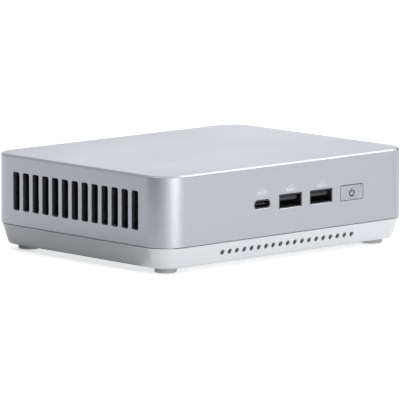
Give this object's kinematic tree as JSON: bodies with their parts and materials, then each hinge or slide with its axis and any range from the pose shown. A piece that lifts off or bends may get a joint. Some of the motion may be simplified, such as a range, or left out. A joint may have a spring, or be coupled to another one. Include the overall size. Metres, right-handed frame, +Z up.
{
  "type": "mini pc",
  "caption": "Flat desktop computer: aluminium housing with side vents, front and rear sockets and a power button, lifting off a tapered tray with round feet and a release latch.",
  "frame": {"origin": "under the middle of the body, on the surface that the feet stand on", "axes": "+X to the right along the front face, +Y to the rear, +Z up"},
  "size_m": [0.144, 0.112, 0.0419],
  "materials": {
    "shell_aluminium": "bead-blasted and anodised, satin",
    "tray_plastic": "silver-grey, satin",
    "button_plastic": "silver-grey, satin",
    "dark_plastic": "black, fine grain",
    "panel_plastic": "black, fine grain",
    "foot_rubber": "grey, matt",
    "socket_steel": "nickel plated",
    "plated_steel": "zinc plated",
    "board_laminate": "dark green solder mask",
    "silicon": "polished",
    "copper": "bare copper",
    "fin_aluminium": "bare",
    "insert_brass": "turned",
    "pad_silicone": "soft, matt"
  },
  "bodies": {
    "base": {"base_tray": "tray_plastic", "foot_front_left": "foot_rubber", "foot_front_right": "foot_rubber", "foot_rear_left": "foot_rubber", "foot_rear_right": "foot_rubber", "bracket_inserts": "insert_brass", "base_shield": "plated_steel", "drive_spreader": "fin_aluminium", "drive_pad": "pad_silicone"},
    "latch": {"release_latch": "dark_plastic", "latch_bar": "dark_plastic"},
    "housing": {"board_screws": "plated_steel", "board_standoffs": "plated_steel", "card_screws": "plated_steel", "card_standoffs": "insert_brass", "coin_cell": "plated_steel", "coin_holder": "dark_plastic", "dc_jack": "dark_plastic", "fan_cover": "plated_steel", "fan_housing": "dark_plastic", "fan_stator": "copper", "fin_stack": "fin_aluminium", "front_usb_a_1": "socket_steel", "front_usb_a_2": "socket_steel", "front_usb_c": "socket_steel", "hdmi_socket_1": "socket_steel", "hdmi_socket_2": "socket_steel", "heat_block": "copper", "heat_pipe_1": "copper", "heat_pipe_2": "copper", "lan_socket": "socket_steel", "mainboard": "board_laminate", "power_switch": "dark_plastic", "processor": "silicon", "radio_card": "board_laminate", "radio_socket": "dark_plastic", "ram_module_1": "board_laminate", "ram_module_2": "board_laminate", "ram_socket_1": "dark_plastic", "ram_socket_2": "dark_plastic", "rear_panel": "panel_plastic", "rear_usb_c_1": "socket_steel", "rear_usb_c_2": "socket_steel", "rear_usb_stack": "socket_steel", "ssd_module": "board_laminate", "ssd_socket": "dark_plastic", "top_shell": "shell_aluminium", "vent_liner_left": "dark_plastic", "vent_liner_right": "dark_plastic"},
    "power_button": {"power_button": "button_plastic"},
    "fan_rotor": {"fan_rotor": "dark_plastic"}
  },
  "joints": [
    {"name": "housing_lift", "type": "slide", "parent": "base", "child": "housing", "axis": [0, 0, 1], "range_m": [0, 0.06]},
    {"name": "latch_slide", "type": "slide", "parent": "base", "child": "latch", "axis": [1, 0, 0], "range_m": [0, 0.005]},
    {"name": "power_button_press", "type": "slide", "parent": "housing", "child": "power_button", "axis": [0, 1, 0], "range_m": [0, 0.0005], "stiffness_N_per_m": 1000, "springref_m": -0.0003},
    {"name": "fan_spin", "type": "hinge", "parent": "housing", "child": "fan_rotor", "pos_m": [-0.028, -0.004, 0.035], "axis": [0, 0, 1], "continuous": true}
  ]
}
